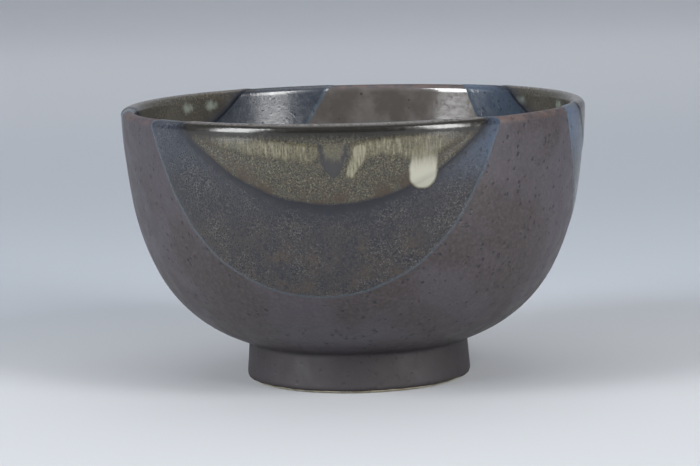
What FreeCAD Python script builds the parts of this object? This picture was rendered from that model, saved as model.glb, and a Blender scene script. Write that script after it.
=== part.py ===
import FreeCAD, Part
import math
import os

# A hand-thrown stoneware matcha bowl on a foot ring, dipped in glaze.
# The origin is the centre of the circle that the foot rests on, +Z points up, and
# the most richly glazed side faces -Y.  Lengths are millimetres, angles degrees.

# Bowl, measured over the base glaze
RIM_DIAMETER = 120.0
BOWL_HEIGHT = 71.5
RIM_WALL = 3.4                # thickness of the glazed wall at the lip
UNDERSIDE_HEIGHT = 5.0        # centre of the underside above the table
FLOOR_HEIGHT = 12.2           # centre of the inside above the table

# The wall is a chain of tangent arcs from the lip to the axis.  Each slope is how far
# the surface faces below the horizontal where one arc ends and the next begins.
OUTER_SLOPES = (2.0, 9.0, 26.0, 66.4, 90.0)
OUTER_BELLY_RADIUS = 65.0
OUTER_HAUNCH_RADIUS = 37.0
INNER_SLOPES = (2.0, 9.0, 26.0, 64.0, 90.0)
INNER_BELLY_RADIUS = 56.0
INNER_HAUNCH_RADIUS = 35.0

# Foot ring, measured over its glaze
FOOT_DIAMETER = 58.6          # at its widest, just above the bare edge
FOOT_INNER_DIAMETER = 47.0
FOOT_LEAN = 3.0               # the ring's sides lean in over its clay by this slope
FOOT_WAIST = 0.3              # and are hollowed by this much half way up the blank
FOOT_EDGE_RADIUS = 1.6        # rounding where the sides turn under to the resting face
BARE_EDGE = 0.7               # height of the clay left unglazed round the resting face

# Glaze coats, from the clay outwards
BASE_COAT = 0.4
BLUE_COAT = 0.3
OCHRE_COAT = 0.3
CREAM_COAT = 0.5

# Each dip is a flat liquid surface that cuts across the tilted bowl: which way the dipped
# side faces, how far the cut leans over, and how far down the outside it came.
BLUE_DIPS = {
    "front": (-100.0, 14.0, 43.3),
    "right": (17.0, 14.9, 38.3),
    "back": (142.0, 20.0, 38.3),
}
OCHRE_DIPS = {
    "front": (-95.6, 32.4, 19.8),
    "right": (15.0, 24.0, 18.4),
    "back": (150.0, 24.0, 19.0),
}

# Cream glaze ran down from just under the lip, over each ochre dip.  The outline is
# drawn facing the dip: across from its middle, and down from the top of the lip.  Each
# dip spreads it by its own share, and a negative share turns it the other way about.
CREAM_SPREAD = {"front": 1.0, "right": 0.72, "back": -0.72}
CREAM_TOP = [(-31.0, 4.4), (-17.0, 3.3), (-2.5, 4.0), (9.0, 3.0), (20.0, 3.1), (30.0, 4.2)]
CREAM_LEFT_EDGE = [(-31.0, 4.4), (-29.0, 6.2), (-19.0, 7.4), (-9.5, 9.1), (-4.0, 8.6)]
CREAM_MIDDLE_RUN = [(-4.0, 8.6), (-0.9, 10.8), (1.0, 12.9), (3.4, 12.4), (5.6, 11.2), (8.6, 8.0)]
CREAM_RIGHT_EDGE = [(8.6, 8.0), (13.0, 8.4), (18.6, 10.0)]
DRIP_MIDDLE = 21.6            # the heavy drip, across from the middle of the dip
DRIP_HALF_WIDTH = 3.1
DRIP_OVERRUN = 1.8            # how far its bead hangs past the edge of the ochre

CENTRE = FreeCAD.Vector(0.0, 0.0, 0.0)
UPWARD = FreeCAD.Vector(0.0, 0.0, 1.0)
MODEL_REACH = 2.0 * (RIM_DIAMETER + BOWL_HEIGHT)   # longer than any line across the bowl


def turned(slope):
    """Cosine and sine of a slope in degrees."""
    angle = math.radians(slope)
    return math.cos(angle), math.sin(angle)


def section_point(across, height):
    """A point of the bowl's half section."""
    return FreeCAD.Vector(across, 0.0, height)


class Wall:
    """One face of the bowl's wall, as tangent arcs from the lip down to the axis."""

    def __init__(self, lip_side, slopes, belly_radius, haunch_radius, axis_height):
        lip_radius = RIM_WALL / 2.0
        first_cos, first_sin = turned(slopes[0])
        self.side = lip_side
        self.slopes = slopes
        self.start = section_point(
            RIM_DIAMETER / 2.0 - lip_radius + lip_side * lip_radius * first_cos,
            BOWL_HEIGHT - lip_radius - lip_side * lip_radius * first_sin)
        self.radii = self.solved_radii(belly_radius, haunch_radius, axis_height)
        self.centres = self.arc_centres()

    def solved_radii(self, belly_radius, haunch_radius, axis_height):
        """The upper wall and the floor take the radii that bring the chain to the axis."""
        across = []
        down = []
        for upper, lower in zip(self.slopes, self.slopes[1:]):
            upper_cos, upper_sin = turned(upper)
            lower_cos, lower_sin = turned(lower)
            across.append(upper_cos - lower_cos)
            down.append(lower_sin - upper_sin)
        go_across = self.start.x - belly_radius * across[1] - haunch_radius * across[2]
        go_down = self.start.z - axis_height - belly_radius * down[1] - haunch_radius * down[2]
        scale = across[0] * down[3] - across[3] * down[0]
        upper_radius = (go_across * down[3] - go_down * across[3]) / scale
        floor_radius = (go_down * across[0] - go_across * down[0]) / scale
        return [upper_radius, belly_radius, haunch_radius, floor_radius]

    def arc_centres(self):
        """Each arc's centre lies on the normal where the arc above it ends."""
        centres = []
        point = self.start
        for radius, upper, lower in zip(self.radii, self.slopes, self.slopes[1:]):
            upper_cos, upper_sin = turned(upper)
            centre = point - section_point(upper_cos, -upper_sin) * radius
            centres.append(centre)
            lower_cos, lower_sin = turned(lower)
            point = centre + section_point(lower_cos, -lower_sin) * radius
        return centres

    def at(self, arc, slope, coat):
        """A point of one arc, with a coat's thickness laid on towards the air."""
        slope_cos, slope_sin = turned(slope)
        reach = self.radii[arc] + self.side * coat
        return self.centres[arc] + section_point(slope_cos, -slope_sin) * reach

    def edges(self, coat, arcs):
        """The arcs from the lip downwards, at a coat's thickness."""
        made = []
        for arc in range(arcs):
            upper, lower = self.slopes[arc], self.slopes[arc + 1]
            middle = (upper + lower) / 2.0
            points = [self.at(arc, slope, coat) for slope in (upper, middle, lower)]
            points = [FreeCAD.Vector(max(point.x, 0.0), 0.0, point.z) for point in points]
            made.append(Part.Arc(*points).toShape())
        return made

    def end(self, coat, arcs):
        """Where the last of the arcs ends."""
        point = self.at(arcs - 1, self.slopes[arcs], coat)
        return FreeCAD.Vector(max(point.x, 0.0), 0.0, point.z)


    def radius_at(self, height):
        """How far the bare wall is from the axis at a height above its foot."""
        for arc, centre in enumerate(self.centres):
            low = self.at(arc, self.slopes[arc + 1], 0.0).z
            if height >= low or arc == len(self.centres) - 1:
                rise = height - centre.z
                return centre.x + self.side * math.sqrt(self.radii[arc] ** 2 - rise ** 2)


OUTSIDE = Wall(1.0, OUTER_SLOPES, OUTER_BELLY_RADIUS, OUTER_HAUNCH_RADIUS, UNDERSIDE_HEIGHT)
INSIDE = Wall(-1.0, INNER_SLOPES, INNER_BELLY_RADIUS, INNER_HAUNCH_RADIUS, FLOOR_HEIGHT)
WHOLE_WALL = len(OUTER_SLOPES) - 1      # arcs from the lip to the axis
UPRIGHT_WALL = WHOLE_WALL - 1           # arcs from the lip to the edge of the floor


def lip_top(coat):
    """The highest point of the lip, over a coat."""
    return section_point(RIM_DIAMETER / 2.0 - RIM_WALL / 2.0, BOWL_HEIGHT + coat)


def lip_edges(coat):
    """The round lip in two halves: up the outside, then down the inside."""
    middle = section_point(RIM_DIAMETER / 2.0 - RIM_WALL / 2.0, BOWL_HEIGHT - RIM_WALL / 2.0)
    reach = RIM_WALL / 2.0 + coat
    shoulder_cos, shoulder_sin = turned(45.0)
    outer_shoulder = middle + section_point(shoulder_cos, shoulder_sin) * reach
    inner_shoulder = middle + section_point(-shoulder_cos, shoulder_sin) * reach
    outer_half = Part.Arc(OUTSIDE.at(0, OUTER_SLOPES[0], coat), outer_shoulder, lip_top(coat))
    inner_half = Part.Arc(lip_top(coat), inner_shoulder, INSIDE.at(0, INNER_SLOPES[0], coat))
    return outer_half.toShape(), inner_half.toShape()


def line(start, finish):
    return Part.LineSegment(start, finish).toShape()


def revolved(edges):
    """The solid that a closed half section sweeps round the bowl's axis."""
    wire = Part.Wire(Part.__sortEdges__(edges))
    solid = Part.Face(wire).revolve(CENTRE, UPWARD, 360.0)
    return Part.Solid(solid.Shells[0])


def one_sided_coat(wall, lip_half, lower, upper):
    """A coat from the top of the lip down one face of the wall to the axis."""
    edges = wall.edges(lower, WHOLE_WALL) + wall.edges(upper, WHOLE_WALL)
    edges += [lip_edges(lower)[lip_half], lip_edges(upper)[lip_half]]
    edges.append(line(lip_top(lower), lip_top(upper)))
    edges.append(line(wall.end(lower, WHOLE_WALL), wall.end(upper, WHOLE_WALL)))
    return revolved(edges)


def wrapped_coat(lower, upper):
    """A coat up the outside, over the lip and down the inside."""
    edges = list(lip_edges(lower)) + list(lip_edges(upper))
    for wall in (OUTSIDE, INSIDE):
        edges += wall.edges(lower, UPRIGHT_WALL) + wall.edges(upper, UPRIGHT_WALL)
        edges.append(line(wall.end(lower, UPRIGHT_WALL), wall.end(upper, UPRIGHT_WALL)))
    return revolved(edges)


def bowl_solid(coat):
    """The thrown bowl without its foot, out to a coat's thickness."""
    edges = list(lip_edges(coat))
    edges += OUTSIDE.edges(coat, WHOLE_WALL) + INSIDE.edges(coat, WHOLE_WALL)
    edges.append(line(OUTSIDE.end(coat, WHOLE_WALL), INSIDE.end(coat, WHOLE_WALL)))
    return revolved(edges)


def filled_bowl(coat):
    """The bowl's outer shape with no hollow, used to seat what stands under it."""
    rim = OUTSIDE.at(0, OUTER_SLOPES[0], coat)
    rim_middle = section_point(0.0, rim.z)
    edges = OUTSIDE.edges(coat, WHOLE_WALL)
    edges += [line(rim, rim_middle), line(rim_middle, OUTSIDE.end(coat, WHOLE_WALL))]
    return revolved(edges)


def foot_blank(coat):
    """The foot ring's leaning sides and rounded edges, carried up inside the bowl."""
    top = BOWL_HEIGHT / 2.0
    lean = math.tan(math.radians(FOOT_LEAN)) * (top - FOOT_EDGE_RADIUS)
    turn_cos, turn_sin = turned(45.0)
    turn_in = FOOT_EDGE_RADIUS * (1.0 - turn_cos)
    turn_up = FOOT_EDGE_RADIUS * (1.0 - turn_sin)
    outer = FOOT_DIAMETER / 2.0 + coat
    inner = FOOT_INNER_DIAMETER / 2.0 - coat
    outer_low = section_point(outer, FOOT_EDGE_RADIUS)
    inner_low = section_point(inner, FOOT_EDGE_RADIUS)
    outer_rest = section_point(outer - FOOT_EDGE_RADIUS, 0.0)
    inner_rest = section_point(inner + FOOT_EDGE_RADIUS, 0.0)
    outer_top = section_point(outer - lean, top)
    inner_top = section_point(inner + lean, top)
    outer_turn = section_point(outer - turn_in, turn_up)
    inner_turn = section_point(inner + turn_in, turn_up)
    waist = section_point(FOOT_WAIST, 0.0)
    outer_waist = (outer_low + outer_top) * 0.5 - waist
    inner_waist = (inner_low + inner_top) * 0.5 + waist
    edges = [Part.Arc(outer_low, outer_waist, outer_top).toShape()]
    edges.append(line(outer_top, inner_top))
    edges.append(Part.Arc(inner_top, inner_waist, inner_low).toShape())
    edges.append(Part.Arc(inner_low, inner_turn, inner_rest).toShape())
    edges.append(line(inner_rest, outer_rest))
    edges.append(Part.Arc(outer_rest, outer_turn, outer_low).toShape())
    return revolved(edges)


def above(height):
    """Everything near the bowl that is higher than a level."""
    corner = FreeCAD.Vector(-MODEL_REACH / 2.0, -MODEL_REACH / 2.0, height)
    return Part.makeBox(MODEL_REACH, MODEL_REACH, MODEL_REACH, corner)


def stoneware_bowl():
    return bowl_solid(-BASE_COAT)


def foot_ring():
    """The ring is luted on, so its top is shaped to the underside of the bowl."""
    return foot_blank(-BASE_COAT).cut(filled_bowl(-BASE_COAT))


def inside_glaze():
    return one_sided_coat(INSIDE, 1, -BASE_COAT, 0.0)


def outside_and_recess_glaze():
    """The outer coat stops at the foot, runs down its sides and stops above its bare edge."""
    clay_foot = foot_blank(-BASE_COAT)
    body_coat = one_sided_coat(OUTSIDE, 0, -BASE_COAT, 0.0).cut(clay_foot)
    foot_coat = foot_blank(0.0).cut(clay_foot).cut(filled_bowl(-BASE_COAT))
    foot_coat = foot_coat.common(above(BARE_EDGE))
    whole = body_coat.fuse(foot_coat).removeSplitter()
    return sorted(whole.Solids, key=lambda solid: solid.BoundBox.XLength, reverse=True)


def dip_reach(dip):
    """How near to the origin the liquid's surface comes for its edge to be that deep."""
    _, tilt, depth = dip
    tilt_cos, tilt_sin = turned(tilt)
    height = BOWL_HEIGHT - depth
    return tilt_cos * OUTSIDE.radius_at(height) + tilt_sin * height


def dip_side(dip):
    """The side of the glaze surface that the dipped part of the bowl was on."""
    azimuth, tilt, _ = dip
    tilt_cos, tilt_sin = turned(tilt)
    turn_cos, turn_sin = turned(azimuth)
    towards = FreeCAD.Vector(tilt_cos * turn_cos, tilt_cos * turn_sin, tilt_sin)
    block = above(0.0)
    block.Placement = FreeCAD.Placement(
        towards * dip_reach(dip), FreeCAD.Rotation(UPWARD, towards))
    return block


def blue_dip(dip):
    return wrapped_coat(0.0, BLUE_COAT).common(dip_side(dip))


def ochre_dip(dip):
    return wrapped_coat(BLUE_COAT, BLUE_COAT + OCHRE_COAT).common(dip_side(dip))


def edge_below_lip(dip, across):
    """How far down a dip's edge is, at a distance across from the middle of the dip."""
    _, tilt, depth = dip
    tilt_cos, tilt_sin = turned(tilt)
    height = BOWL_HEIGHT - depth
    for _ in range(20):
        forward = math.sqrt(OUTSIDE.radius_at(height) ** 2 - across ** 2)
        height = (height + (dip_reach(dip) - tilt_cos * forward) / tilt_sin) / 2.0
    return BOWL_HEIGHT - height


def drip_outline(dip, spread):
    """The heavy drip's outline, down one side, round its bead and up the other."""
    left = DRIP_MIDDLE - DRIP_HALF_WIDTH
    right = DRIP_MIDDLE + DRIP_HALF_WIDTH
    edge = edge_below_lip(dip, DRIP_MIDDLE * spread)
    low = [(left, edge - DRIP_OVERRUN / 2.0), (DRIP_MIDDLE, edge + DRIP_OVERRUN)]
    high = [(right, edge - DRIP_OVERRUN / 2.0), (right + 0.8, 9.0)]
    return [CREAM_RIGHT_EDGE[-1]] + low + high + [CREAM_TOP[-1]]


def flowing_line(points, spread):
    """A flowing edge of a glaze run, through points given across and down from the lip."""
    placed = [FreeCAD.Vector(0.0, across * spread, BOWL_HEIGHT - down)
              for across, down in points]
    curve = Part.BSplineCurve()
    curve.interpolate(placed)
    return curve.toShape()


def cream_runs(dip, spread, ochre):
    """Cream glaze over the ochre, reaching down onto the blue where a drip ran past it."""
    outline = (CREAM_TOP, CREAM_LEFT_EDGE, CREAM_MIDDLE_RUN, CREAM_RIGHT_EDGE,
               drip_outline(dip, spread))
    edges = [flowing_line(points, spread) for points in outline]
    wire = Part.Wire(Part.__sortEdges__(edges))
    block = Part.Face(wire).extrude(FreeCAD.Vector(MODEL_REACH, 0.0, 0.0))
    block.rotate(CENTRE, UPWARD, dip[0])
    coat = one_sided_coat(OUTSIDE, 0, BLUE_COAT, BLUE_COAT + OCHRE_COAT + CREAM_COAT)
    return coat.common(block).cut(ochre)


def all_pieces():
    outside_glaze, recess_glaze = outside_and_recess_glaze()
    pieces = {
        "stoneware_bowl": stoneware_bowl(),
        "foot_ring": foot_ring(),
        "inside_glaze": inside_glaze(),
        "outside_glaze": outside_glaze,
        "foot_recess_glaze": recess_glaze,
    }
    for place, spread in CREAM_SPREAD.items():
        ochre = ochre_dip(OCHRE_DIPS[place])
        pieces["blue_dip_" + place] = blue_dip(BLUE_DIPS[place])
        pieces["ochre_dip_" + place] = ochre
        pieces["cream_runs_" + place] = cream_runs(OCHRE_DIPS[place], spread, ochre)
    return pieces


os.makedirs("parts", exist_ok=True)
for node, shape in all_pieces().items():
    if len(shape.Solids) == 1:
        shape = shape.Solids[0]
    shape.exportStep("parts/" + node + ".step")
    print(node, "solids", len(shape.Solids), "valid", shape.isValid(), "volume", round(shape.Volume, 2))
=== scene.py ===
import math

import bpy
import numpy as np
from mathutils import Matrix, Vector


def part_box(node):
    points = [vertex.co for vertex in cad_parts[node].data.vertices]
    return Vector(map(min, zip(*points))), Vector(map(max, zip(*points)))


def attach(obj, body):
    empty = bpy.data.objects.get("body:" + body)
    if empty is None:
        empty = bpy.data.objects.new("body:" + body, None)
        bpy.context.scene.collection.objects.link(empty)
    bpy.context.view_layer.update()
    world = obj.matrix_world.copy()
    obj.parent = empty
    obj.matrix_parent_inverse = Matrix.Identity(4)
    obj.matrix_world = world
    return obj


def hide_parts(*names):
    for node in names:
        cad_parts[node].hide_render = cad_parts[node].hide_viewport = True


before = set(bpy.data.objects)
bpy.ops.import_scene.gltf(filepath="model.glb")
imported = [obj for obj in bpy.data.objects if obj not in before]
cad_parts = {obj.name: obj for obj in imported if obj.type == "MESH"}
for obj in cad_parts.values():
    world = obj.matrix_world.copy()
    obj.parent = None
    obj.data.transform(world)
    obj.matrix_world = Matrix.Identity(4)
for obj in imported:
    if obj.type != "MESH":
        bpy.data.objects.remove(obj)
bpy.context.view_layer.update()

# A matcha bowl: a thrown stoneware bowl on a foot ring, a satin outer glaze, a glossy
# liner, and three slate blue dips at the rim, each under an ochre dip and cream runs.
# Everything is in metres, standing at the origin, with the richest side facing -Y.

MM = 0.001

# Sizes that are the potter's own, as in the part's source
RIM_WALL = 3.4 * MM
BASE_COAT = 0.4 * MM
UNDERSIDE_HEIGHT = 5.0 * MM
FOOT_INNER_RADIUS = 23.5 * MM
FOOT_EDGE_RADIUS = 1.6 * MM
FOOT_LEAN = 0.052
FOOT_WAIST = 1.2 * MM
OUTER_SLOPES = (2.0, 9.0, 26.0, 66.4, 90.0)
OUTER_BELLY_RADIUS = 65.0 * MM
OUTER_HAUNCH_RADIUS = 37.0 * MM
INNER_SLOPES = (2.0, 9.0, 26.0, 64.0, 90.0)
INNER_BELLY_RADIUS = 56.0 * MM
INNER_HAUNCH_RADIUS = 35.0 * MM

# Sizes that the frame holds
OUTER_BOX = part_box("outside_glaze")
LINER_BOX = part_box("inside_glaze")
FOOT_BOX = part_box("foot_ring")
RIM_RADIUS = (OUTER_BOX[1].x - OUTER_BOX[0].x) / 2.0
BOWL_HEIGHT = OUTER_BOX[1].z
FLOOR_HEIGHT = LINER_BOX[0].z + BASE_COAT
FOOT_RADIUS = (FOOT_BOX[1].x - FOOT_BOX[0].x) / 2.0
BARE_EDGE = OUTER_BOX[0].z

# Each dip is a flat liquid surface that cuts across the tilted bowl: which way the dipped
# side faces, how far the cut leans over, and how far down the outside it came.
BLUE_DIPS = {
    "front": (-100.0, 14.0, 43.3),
    "right": (17.0, 14.9, 38.3),
    "back": (142.0, 20.0, 38.3),
}
OCHRE_DIPS = {
    "front": (-95.6, 32.4, 19.8),
    "right": (15.0, 24.0, 18.4),
    "back": (150.0, 24.0, 19.0),
}
CREAM_SPREAD = {"front": 1.0, "right": 0.72, "back": -0.72}

# Pale dabs inside the lip, by the way they face and how far below the lip they sit
INNER_DABS = {
    "front": ((-88.0, 3.4), (-104.0, 3.2)),
    "right": ((36.0, 3.4), (14.0, 3.2)),
    "back": ((143.0, 3.4), (134.0, 3.2)),
}

# How thick the melted coats stand
BLUE_LIFT = 0.16 * MM
OCHRE_LIFT = 0.16 * MM
CREAM_VEIL = 0.14 * MM
CREAM_DRIP = 0.55 * MM
TONGUE_LIFT = 0.12 * MM
DAB_LIFT = 0.08 * MM
BLUE_SHOULDER = 0.7 * MM        # how far in from its edge a dip is nearly full height
OCHRE_SHOULDER = 0.6 * MM
OCHRE_BEAD = 0.05 * MM
SUNK = 0.3 * MM                 # how deep a dip's sheet sinks beyond its edge
BACK_DEPTH = 0.36 * MM          # a base coat's hidden back, just clear of the clay
POOL = 0.8 * MM                 # how far glaze pooled in the corner above the foot
OUT_OF_ROUND = 0.16 * MM
EDGE_WAVER, EDGE_TREMBLE = 0.16 * MM, 0.05 * MM
WIPED_WAVER, WIPED_FADE = 0.7 * MM, 1.6 * MM


# ---------------------------------------------------------------- the bowl's section

class Wall:
    """The line of the bowl's skin: up the outside, over the lip and down the inside.

    A place on it is how far it is from the top of the lip, along the skin: negative down
    the outside and positive down the inside.
    """

    def __init__(self):
        lip_radius = RIM_WALL / 2.0
        self.lip_centre = np.array([RIM_RADIUS - lip_radius, BOWL_HEIGHT - lip_radius])
        outer = self.side(1.0, OUTER_SLOPES, OUTER_BELLY_RADIUS, OUTER_HAUNCH_RADIUS,
                          UNDERSIDE_HEIGHT)
        inner = self.side(-1.0, INNER_SLOPES, INNER_BELLY_RADIUS, INNER_HAUNCH_RADIUS,
                          FLOOR_HEIGHT)
        first, last = -OUTER_SLOPES[0], 180.0 - INNER_SLOPES[0]
        lip = [(self.lip_centre, lip_radius, first, last)]
        self.tabulate(outer[::-1] + lip + inner)

    def side(self, towards, slopes, belly, haunch, axis_height):
        """Tangent arcs of one side, each as centre, radius, first and last facing."""
        turns = np.radians(slopes)
        start = self.lip_centre + towards * RIM_WALL / 2.0 * np.array(
            [math.cos(turns[0]), -math.sin(turns[0])])
        across = np.cos(turns[:-1]) - np.cos(turns[1:])
        down = np.sin(turns[1:]) - np.sin(turns[:-1])
        left = np.array([[across[0], across[3]], [down[0], down[3]]])
        right = np.array([start[0] - belly * across[1] - haunch * across[2],
                          start[1] - axis_height - belly * down[1] - haunch * down[2]])
        upper, floor = np.linalg.solve(left, right)
        arcs = []
        point = start
        for radius, top, low in zip((upper, belly, haunch, floor), turns[:-1], turns[1:]):
            centre = point - radius * np.array([math.cos(top), -math.sin(top)])
            point = centre + radius * np.array([math.cos(low), -math.sin(low)])
            facing = (-math.degrees(low), -math.degrees(top))
            if towards < 0.0:
                facing = (180.0 - math.degrees(top), 180.0 - math.degrees(low))
            arcs.append((centre, towards * radius, *facing))
        return arcs

    def tabulate(self, arcs):
        """Finely spaced places, points and facings along the whole line."""
        step = 0.02 * MM
        places, points, facings = [], [], []
        travelled = 0.0
        for centre, radius, first, last in arcs:
            length = abs(radius * math.radians(last - first))
            count = max(int(length / step), 2)
            angle = np.radians(np.linspace(first, last, count))
            facing = np.stack([np.cos(angle), np.sin(angle)], 1)
            points.append(centre + radius * facing)
            facings.append(facing)
            places.append(travelled + np.linspace(0.0, length, count))
            travelled += length
        self.points = np.concatenate(points)
        self.facings = np.concatenate(facings)
        places = np.concatenate(places)
        self.places = places - places[np.argmax(self.points[:, 1])]
        self.bottom = self.places[0]
        self.middle = self.places[-1]

    def at(self, place):
        """Distance from the axis and height of a place, and which way the skin faces."""
        return [np.interp(place, self.places, column)
                for column in (*self.points.T, *self.facings.T)]

    def outside_at_height(self, height):
        """The place on the outside at some height."""
        outside = self.places <= 0.0
        return float(np.interp(height, self.points[outside, 1], self.places[outside]))

    def outside_at_radius(self, radius):
        """The place on the underside at some distance from the axis."""
        under = self.points[:, 1] < BOWL_HEIGHT / 4.0
        under &= self.places < 0.0
        return float(np.interp(radius, self.points[under, 0], self.places[under]))

    def skin(self, azimuth, place, lift=0.0):
        """Points in space on the skin, raised by a lift, and the way it faces there."""
        radius, height, facing_out, facing_up = self.at(place)
        around, up = np.cos(azimuth), np.sin(azimuth)
        facing = np.stack([facing_out * around, facing_out * up,
                           facing_up * np.ones_like(azimuth)], -1)
        base = np.stack([radius * around, radius * up, height * np.ones_like(azimuth)], -1)
        return base + facing * np.asarray(lift)[..., None], facing


WALL = Wall()


def ripple(points, size, seed, waves=9):
    """A smooth random number between about -1 and 1 at each point, with bumps of a size."""
    random = np.random.default_rng(seed)
    total = np.zeros(points.shape[:-1])
    for _ in range(waves):
        heading = random.normal(size=3)
        heading /= np.linalg.norm(heading)
        pitch = random.uniform(0.75, 1.5)
        phase = random.uniform(0.0, math.tau)
        total += np.sin(points @ heading * math.tau * pitch / size + phase)
    return total / math.sqrt(waves * 2.0)


def eased(value, low, high):
    """Nought below low, one above high, and smooth between."""
    share = np.clip((value - low) / (high - low), 0.0, 1.0)
    return share * share * (3.0 - 2.0 * share)


# ---------------------------------------------------------------- the dips' edges

def inside_dip(points, facing_of_skin, dip, seed):
    """How far a point of the skin lies inside a dip's edge, which wavers a little."""
    azimuth, tilt, depth = dip
    turn, lean = math.radians(azimuth), math.radians(tilt)
    towards = np.array([math.cos(lean) * math.cos(turn),
                        math.cos(lean) * math.sin(turn), math.sin(lean)])
    edge_height = BOWL_HEIGHT - depth * MM
    edge_radius = WALL.at(WALL.outside_at_height(edge_height))[0]
    reach = math.cos(lean) * edge_radius + math.sin(lean) * edge_height
    along = facing_of_skin @ towards
    steepness = np.sqrt(np.maximum(1.0 - along * along, 0.1))
    waver = EDGE_WAVER * ripple(points, 14.0 * MM, seed)
    waver += EDGE_TREMBLE * ripple(points, 3.0 * MM, seed + 1)
    return (points @ towards - reach) / steepness + waver


def inside_blue(points, facing, side):
    return inside_dip(points, facing, BLUE_DIPS[side], 11)


def inside_ochre(points, facing, side):
    return inside_dip(points, facing, OCHRE_DIPS[side], 23)


# The cream band, facing its dip: millimetres across from the middle of the dip, where the
# band starts and ends down from the lip, and how milky it is there.
CREAM_BAND = np.array((
    (-37.0, 5.0, 5.2, 0.0),
    (-31.0, 3.2, 5.2, 0.35),
    (-22.0, 3.3, 7.2, 0.8),
    (-12.0, 3.8, 8.6, 0.95),
    (-5.0, 4.8, 9.4, 0.85),
    (-2.4, 5.0, 8.6, 0.55),
    (1.0, 4.2, 6.6, 0.12),
    (4.2, 4.6, 8.0, 0.35),
    (7.0, 4.2, 9.2, 0.85),
    (12.0, 3.4, 8.0, 0.95),
    (19.0, 2.9, 8.6, 0.9),
    (26.0, 2.6, 7.4, 0.75),
    (30.5, 2.6, 5.6, 0.4),
    (35.0, 3.6, 4.0, 0.0),
)).T

# Runs below the band: from, to, half width at both ends, and how milky they are
CREAM_RUNS = (
    ((-3.5, 6.4), (-1.5, 11.2), (0.8, 0.35), 0.5),
    ((7.4, 6.6), (4.9, 11.6), (2.1, 1.2), 1.25),
)
DRIP_TOP, DRIP_FOOT, DRIP_HALF_WIDTH = (22.6, 6.5), (21.9, 12.7), 3.55

# The dark tongue that ran down between the milky runs
TONGUE_MIDDLE, TONGUE_TOP, TONGUE_FOOT, TONGUE_HALF_WIDTH = 0.9, 2.0, 12.6, 3.7


def inside_run(across, down, start, finish, half_widths):
    """How far a point lies inside a rounded run between two places."""
    go = np.subtract(finish, start)
    share = np.clip(((across - start[0]) * go[0] + (down - start[1]) * go[1]) / (go @ go), 0, 1)
    distance = np.hypot(across - start[0] - share * go[0], down - start[1] - share * go[1])
    return half_widths[0] + share * (half_widths[1] - half_widths[0]) - distance


def inside_tongue(across, down):
    """How far a point lies inside the dark tongue, which narrows to a round tip."""
    fall = np.clip((down - TONGUE_TOP) / (TONGUE_FOOT - TONGUE_TOP), 0.0, 1.0)
    half = TONGUE_HALF_WIDTH * (1.0 - 0.45 * fall) * np.sqrt(1.0 - fall ** 5)
    beyond = np.maximum(down - TONGUE_FOOT, 0.0)
    return 0.85 * (half - np.abs(across - TONGUE_MIDDLE)) - beyond


def cream_place(points, side):
    """Across and down of points on the outside, facing a dip, in millimetres."""
    middle = math.radians(OCHRE_DIPS[side][0])
    across = -points[..., 0] * math.sin(middle) + points[..., 1] * math.cos(middle)
    return across / MM / CREAM_SPREAD[side], (BOWL_HEIGHT - points[..., 2]) / MM


def cream_fields(points, side):
    """How milky the cream is, how far it is inside the drip, and inside the tongue."""
    across, down = cream_place(points, side)
    uneven = 0.45 * ripple(points, 5.0 * MM, 41)
    top, foot, strength = (np.interp(across, CREAM_BAND[0], row) for row in CREAM_BAND[1:])
    milky = strength * eased(down, top - 1.1, top + 0.9)
    milky *= 1.0 - eased(down + uneven, foot - 1.6, foot + 0.9)
    for start, finish, half_widths, strength in CREAM_RUNS:
        inside = inside_run(across, down, start, finish, half_widths)
        milky = np.maximum(milky, strength * eased(inside, -0.5, 0.6))
    drip = inside_run(across, down, DRIP_TOP, DRIP_FOOT, (DRIP_HALF_WIDTH, DRIP_HALF_WIDTH))
    drip += 0.1 * ripple(points, 3.0 * MM, 43)
    tongue = inside_tongue(across, down) + 0.12 * ripple(points, 2.5 * MM, 47)
    return milky, drip, tongue, down


# ---------------------------------------------------------------- how thick the coats are

def rolled(inside, full, width):
    """A coat's height near its edge: it rises quickly, then levels, and sinks outside."""
    return full * np.tanh(inside / width)


def blue_height(points, facing, side):
    inside = inside_blue(points, facing, side)
    return rolled(inside, BLUE_LIFT, BLUE_SHOULDER), inside


def ochre_height(points, facing, side):
    """The ochre ends in a low bead, where the melt gathered."""
    inside = inside_ochre(points, facing, side)
    bead = OCHRE_BEAD * np.exp(-((inside / MM - 1.2) / 0.9) ** 2)
    return rolled(inside, OCHRE_LIFT, OCHRE_SHOULDER) + bead, inside


def cream_height(milky, drip, tongue, down):
    """A thin milky veil, a heavier rounded drip and a low rounded tongue."""
    veil = CREAM_VEIL * (eased(milky, 0.0, 0.8) * eased(down, 0.0, 7.0) - 0.06)
    weight = eased(down, 4.0, 13.0)
    round_drip = np.sqrt(np.clip(drip / DRIP_HALF_WIDTH, 0.0, 1.0))
    gathered = CREAM_DRIP * weight * round_drip * eased(down, 3.5, 7.0)
    low = TONGUE_LIFT * np.sqrt(np.clip(tongue / 2.0, 0.0, 1.0)) * eased(down, 4.0, 8.0)
    return veil + gathered + low


def dabs(points, side):
    """How much of the pale dabs lies on a place inside the lip."""
    azimuth = np.degrees(np.arctan2(points[..., 1], points[..., 0]))
    down = (BOWL_HEIGHT - points[..., 2]) / MM
    amount = np.zeros(azimuth.shape)
    for facing, depth in INNER_DABS[side]:
        turn = (azimuth - facing + 180.0) % 360.0 - 180.0
        amount += np.exp(-(turn / 3.0) ** 2 - ((down - depth) / 1.7) ** 2)
    return amount


# ---------------------------------------------------------------- making meshes

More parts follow.
